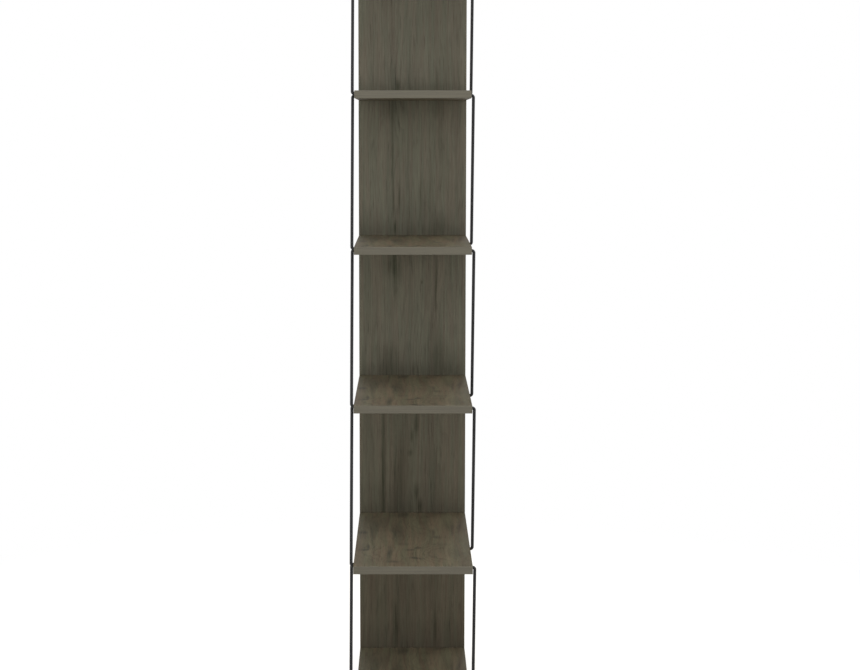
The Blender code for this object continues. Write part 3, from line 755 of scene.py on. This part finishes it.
for level_name in level_names:
    node_name = "cam_bolt_" + level_name
    low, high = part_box(node_name)
    start = threaded_end(low.z, 1) if level_name == "bottom" else gripped_end(low.z, 1)
    finish = threaded_end(high.z, -1) if level_name == "top" else gripped_end(high.z, -1)
    bolt = turn_piece("joining_bolt_" + level_name, 0, panel_middle_y, start + finish[::-1], bolt_sides)
    finish_with(bolt, plated)
    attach(bolt, body)
    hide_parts(node_name)


# Dowels: 8 mm beech pins with pressed flutes and chamfered ends, pushed in dry. Two beside each
# bolt keep a board and its panels in line.
dowel_sides = 48
dowel_chamfer = 0.0008
flute_step = 3  # every third side line is pressed in
flute_share = 0.93  # of the radius

# Plain beech: pale pinkish brown, with fine grain along the pin and short darker flecks. The
# flecks are 0.1 mm wide and are drawn 0.5 mm wide so that they show
beech = start_material("plain_beech")
tree = beech.node_tree
place = add_node(tree, "TexCoord")
beech_place = add_node(tree, "Mapping", {"Vector": place.outputs["Object"],
                                         "Scale": per_size(1.2, 1.2, 14)})
beech_grain = add_node(tree, "TexNoise", {"Vector": beech_place.outputs[0], "Scale": 1, "Detail": 3})
fleck_place = add_node(tree, "Mapping", {"Vector": place.outputs["Object"],
                                         "Scale": per_size(0.5, 0.5, 2.5)})
fleck = add_node(tree, "TexNoise", {"Vector": fleck_place.outputs[0], "Scale": 1, "Detail": 0})
fleck_share = add_node(tree, "MapRange", {"Value": fleck.outputs[0], "From Min": 0.60, "From Max": 0.70})
beech_ground = add_node(tree, "Mix", {0: beech_grain.outputs[0], 6: colour("#b98f63"),
                                      7: colour("#dcbd92")}, data_type="RGBA")
beech_colour = add_node(tree, "Mix", {0: fleck_share.outputs[0], 6: beech_ground.outputs[2],
                                      7: colour("#94663f")}, data_type="RGBA")
beech_bump = add_node(tree, "Bump", {"Height": beech_grain.outputs[0], "Strength": 0.3,
                                     "Distance": 0.0001})
beech_shader = add_node(tree, "BsdfPrincipled", {"Base Color": beech_colour.outputs[2], "Roughness": 0.62,
                                                 "Specular IOR Level": 0.3,
                                                 "Normal": beech_bump.outputs[0]})
add_node(tree, "OutputMaterial", {"Surface": beech_shader.outputs[0]})


def press_flutes(dowel, middle_x, radius):
    """Presses the flutes into a dowel's side. The small ends of its chamfers stay round."""
    def in_flute(vertex):
        across, back = vertex.co.x - middle_x, vertex.co.y - panel_middle_y
        side_line = round(math.atan2(back, across) / math.tau * dowel_sides)
        return side_line % flute_step == 0 and math.hypot(across, back) > radius - dowel_chamfer / 2

    bpy.ops.object.mode_set(mode="EDIT")
    bpy.ops.mesh.select_mode(type="VERT")
    select_in(dowel, "verts", in_flute)
    bpy.ops.transform.resize(value=(flute_share, flute_share, 1),
                             center_override=(middle_x, panel_middle_y, 0))
    bpy.ops.object.mode_set(mode="OBJECT")


for level_name in level_names:
    for side_name in ("left", "right"):
        node_name = f"dowel_{side_name}_{level_name}"
        low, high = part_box(node_name)
        middle_x = (low.x + high.x) / 2
        dowel_radius = (high.x - low.x) / 2
        profile = [(dowel_radius - dowel_chamfer, low.z), (dowel_radius, low.z + dowel_chamfer),
                   (dowel_radius, high.z - dowel_chamfer), (dowel_radius - dowel_chamfer, high.z)]
        dowel = turn_piece(f"fluted_dowel_{side_name}_{level_name}", middle_x, panel_middle_y, profile,
                           dowel_sides)
        press_flutes(dowel, middle_x, dowel_radius)
        finish_with(dowel, beech)
        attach(dowel, body)
        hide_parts(node_name)


# Floor glides: black polyethylene feet, moulded in one with a barbed spigot that is knocked
# into a bore under the bottom board. The sole has a round dimple, and its rim is rounded.
glide_sides = 48
glide_gap = 0.0003
dimple_radius = 0.0046
dimple_depth = 0.0004
dimple_rim = 0.0050
sole_round, sole_corner = 0.0010, 0.0003
top_round, top_corner = 0.0006, 0.0002  # a rounded edge and how far its middle is set in
spigot_radius = 0.0025
spigot_flare = 0.0008
barb_step = 0.0018
barb_waist = 0.0003
barb_lip = 0.0003
plain_tip = 0.001

# Moulded polyethylene: near black and waxy, with scuffs. The mould's spark grain is about
# 0.05 mm wide and is drawn 0.6 mm wide so that it shows
spark_mm = 0.6
scuff_mm = 7
moulded_least_roughness, moulded_roughness_spread = 0.42, 0.2
moulded = start_material("moulded_polyethylene")
tree = moulded.node_tree
place = add_node(tree, "TexCoord")
spark = add_node(tree, "TexNoise", {"Vector": place.outputs["Object"], "Scale": 1000 / spark_mm,
                                    "Detail": 2})
scuff = add_node(tree, "TexNoise", {"Vector": place.outputs["Object"], "Scale": 1000 / scuff_mm,
                                    "Detail": 3})
moulded_colour = add_node(tree, "Mix", {0: scuff.outputs[0], 6: colour("#161617"), 7: colour("#252526")},
                          data_type="RGBA")
moulded_feel = add_node(tree, "Math", {0: scuff.outputs[0], 1: moulded_roughness_spread,
                                       2: moulded_least_roughness}, operation="MULTIPLY_ADD")
moulded_bump = add_node(tree, "Bump", {"Height": spark.outputs[0], "Strength": 0.3, "Distance": 0.0001})
moulded_shader = add_node(tree, "BsdfPrincipled", {"Base Color": moulded_colour.outputs[2],
                                                   "Roughness": moulded_feel.outputs[0],
                                                   "Specular IOR Level": 0.4,
                                                   "Normal": moulded_bump.outputs[0]})
add_node(tree, "OutputMaterial", {"Surface": moulded_shader.outputs[0]})

for end_name in ("front", "rear"):
    for side_name in ("left", "right"):
        node_name = f"glide_{end_name}_{side_name}"
        low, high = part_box(node_name)
        centre = (low + high) / 2
        foot_radius = (high.x - low.x) / 2
        foot_top = lowest_z - glide_gap
        profile = [(dimple_radius, dimple_depth), (dimple_rim, 0), (foot_radius - sole_round, 0),
                   (foot_radius - sole_corner, sole_corner), (foot_radius, sole_round),
                   (foot_radius, foot_top - top_round), (foot_radius - top_corner, foot_top - top_corner),
                   (foot_radius - top_round, foot_top), (spigot_radius, foot_top)]
        height = foot_top
        while height + barb_step < high.z - plain_tip:
            height += barb_step
            profile += [(spigot_radius - barb_waist, height - barb_lip), (spigot_radius, height)]
        profile += [(spigot_radius - spigot_flare, high.z)]
        glide = turn_piece(f"floor_glide_{end_name}_{side_name}", centre.x, centre.y, profile, glide_sides)
        finish_with(glide, moulded)
        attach(glide, body)
        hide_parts(node_name)
